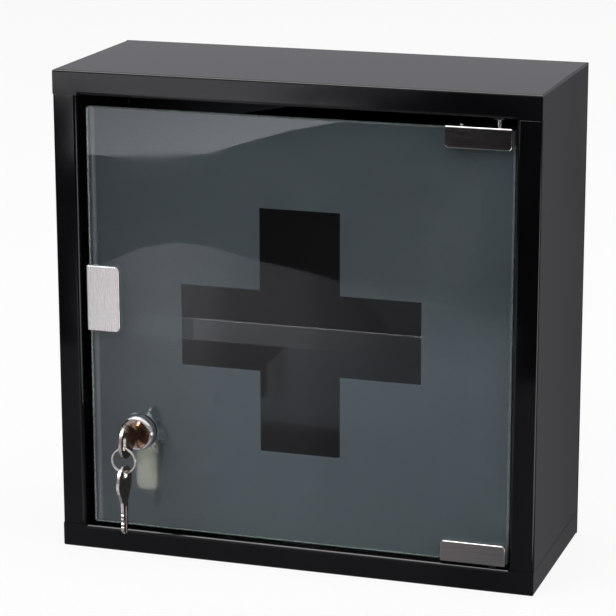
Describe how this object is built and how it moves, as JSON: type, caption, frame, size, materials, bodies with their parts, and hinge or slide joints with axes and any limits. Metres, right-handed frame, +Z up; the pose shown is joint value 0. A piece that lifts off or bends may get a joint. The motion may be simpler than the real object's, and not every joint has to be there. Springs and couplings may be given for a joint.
{
  "type": "lockable medicine cabinet",
  "caption": "Wall cabinet of black sheet steel with an inset frosted glass door bearing a clear cross, pivot hinge clamps, an edge handle, a push latch, a cam lock with keys and a shelf.",
  "frame": {"origin": "middle of the base, half-way between the front of the box and its back panel", "axes": "+X to the right seen from the front, +Y to the back, +Z up"},
  "size_m": [0.3, 0.1559, 0.3],
  "materials": {
    "black_steel": "glossy black powder coat",
    "zinc_steel": "bright zinc plating",
    "pin_steel": "turned steel",
    "spring_steel": "drawn spring wire",
    "magnet_nickel": "nickel-plated magnet",
    "black_nylon": "moulded nylon",
    "frosted_glass": "polished toughened glass, frosted on its rear face around a clear cross",
    "polished_steel": "polished stainless steel",
    "brushed_steel": "brushed stainless steel",
    "grey_rubber": "soft rubber",
    "lock_chrome": "polished nickel-chrome plating",
    "brass": "stamped brass",
    "key_nickel": "nickel-plated key blank",
    "ring_steel": "bright steel wire"
  },
  "bodies": {
    "cabinet": {"side_panel_left": "black_steel", "side_panel_right": "black_steel", "back_panel": "black_steel", "top_cover": "black_steel", "bottom_cover": "black_steel", "shelf": "black_steel", "shelf_rail_left": "black_steel", "shelf_rail_right": "black_steel", "latch_bracket": "black_steel", "shelf_screws": "zinc_steel", "shelf_nuts": "zinc_steel", "latch_screws": "zinc_steel", "latch_nuts": "zinc_steel", "latch_spring": "spring_steel", "upper_hinge_bush": "black_nylon", "lower_hinge_bush": "black_nylon", "latch_body": "black_nylon", "latch_rear_cap": "black_nylon"},
    "door": {"door_glass": "frosted_glass", "upper_hinge_clamp": "polished_steel", "lower_hinge_clamp": "polished_steel", "upper_hinge_pin": "pin_steel", "lower_hinge_pin": "pin_steel", "clamp_pads": "grey_rubber", "clamp_set_screws": "zinc_steel", "clamp_rivet": "zinc_steel", "edge_handle": "brushed_steel", "handle_liner": "grey_rubber", "handle_grub_screw": "zinc_steel", "lock_housing": "lock_chrome", "lock_front_washer": "grey_rubber", "lock_rear_washer": "grey_rubber", "lock_nut": "zinc_steel"},
    "lock_cylinder": {"lock_plug": "lock_chrome", "lock_wafers": "brass", "lock_cam": "zinc_steel", "cam_screw": "zinc_steel"},
    "inserted_key": {"inserted_key": "key_nickel"},
    "key_ring": {"key_ring": "ring_steel"},
    "spare_key": {"spare_key": "key_nickel"},
    "latch_plunger": {"latch_plunger": "black_nylon", "latch_magnet": "magnet_nickel"}
  },
  "joints": [
    {"name": "door_hinge", "type": "hinge", "parent": "cabinet", "child": "door", "pos_m": [0.124, -0.0554, 0.15], "axis": [0, 0, 1], "range_deg": [0, 110]},
    {"name": "lock_turn", "type": "hinge", "parent": "door", "child": "lock_cylinder", "pos_m": [-0.0985, -0.05, 0.0785], "axis": [0, 1, 0], "range_deg": [0, 90]},
    {"name": "key_pull", "type": "slide", "parent": "lock_cylinder", "child": "inserted_key", "axis": [0, -1, 0], "range_m": [0, 0.022]},
    {"name": "key_ring_swing", "type": "hinge", "parent": "inserted_key", "child": "key_ring", "pos_m": [-0.0985, -0.0856, 0.07545], "axis": [1, 0, 0], "range_deg": [-45, 10]},
    {"name": "spare_key_swing", "type": "hinge", "parent": "key_ring", "child": "spare_key", "pos_m": [-0.0985, -0.0856, 0.06045], "axis": [1, 0, 0], "range_deg": [-30, 10]},
    {"name": "latch_press", "type": "slide", "parent": "cabinet", "child": "latch_plunger", "axis": [0, 1, 0], "range_m": [0, 0.003], "stiffness_N_per_m": 150, "springref_m": -0.002, "deforming": ["latch_spring"]}
  ]
}
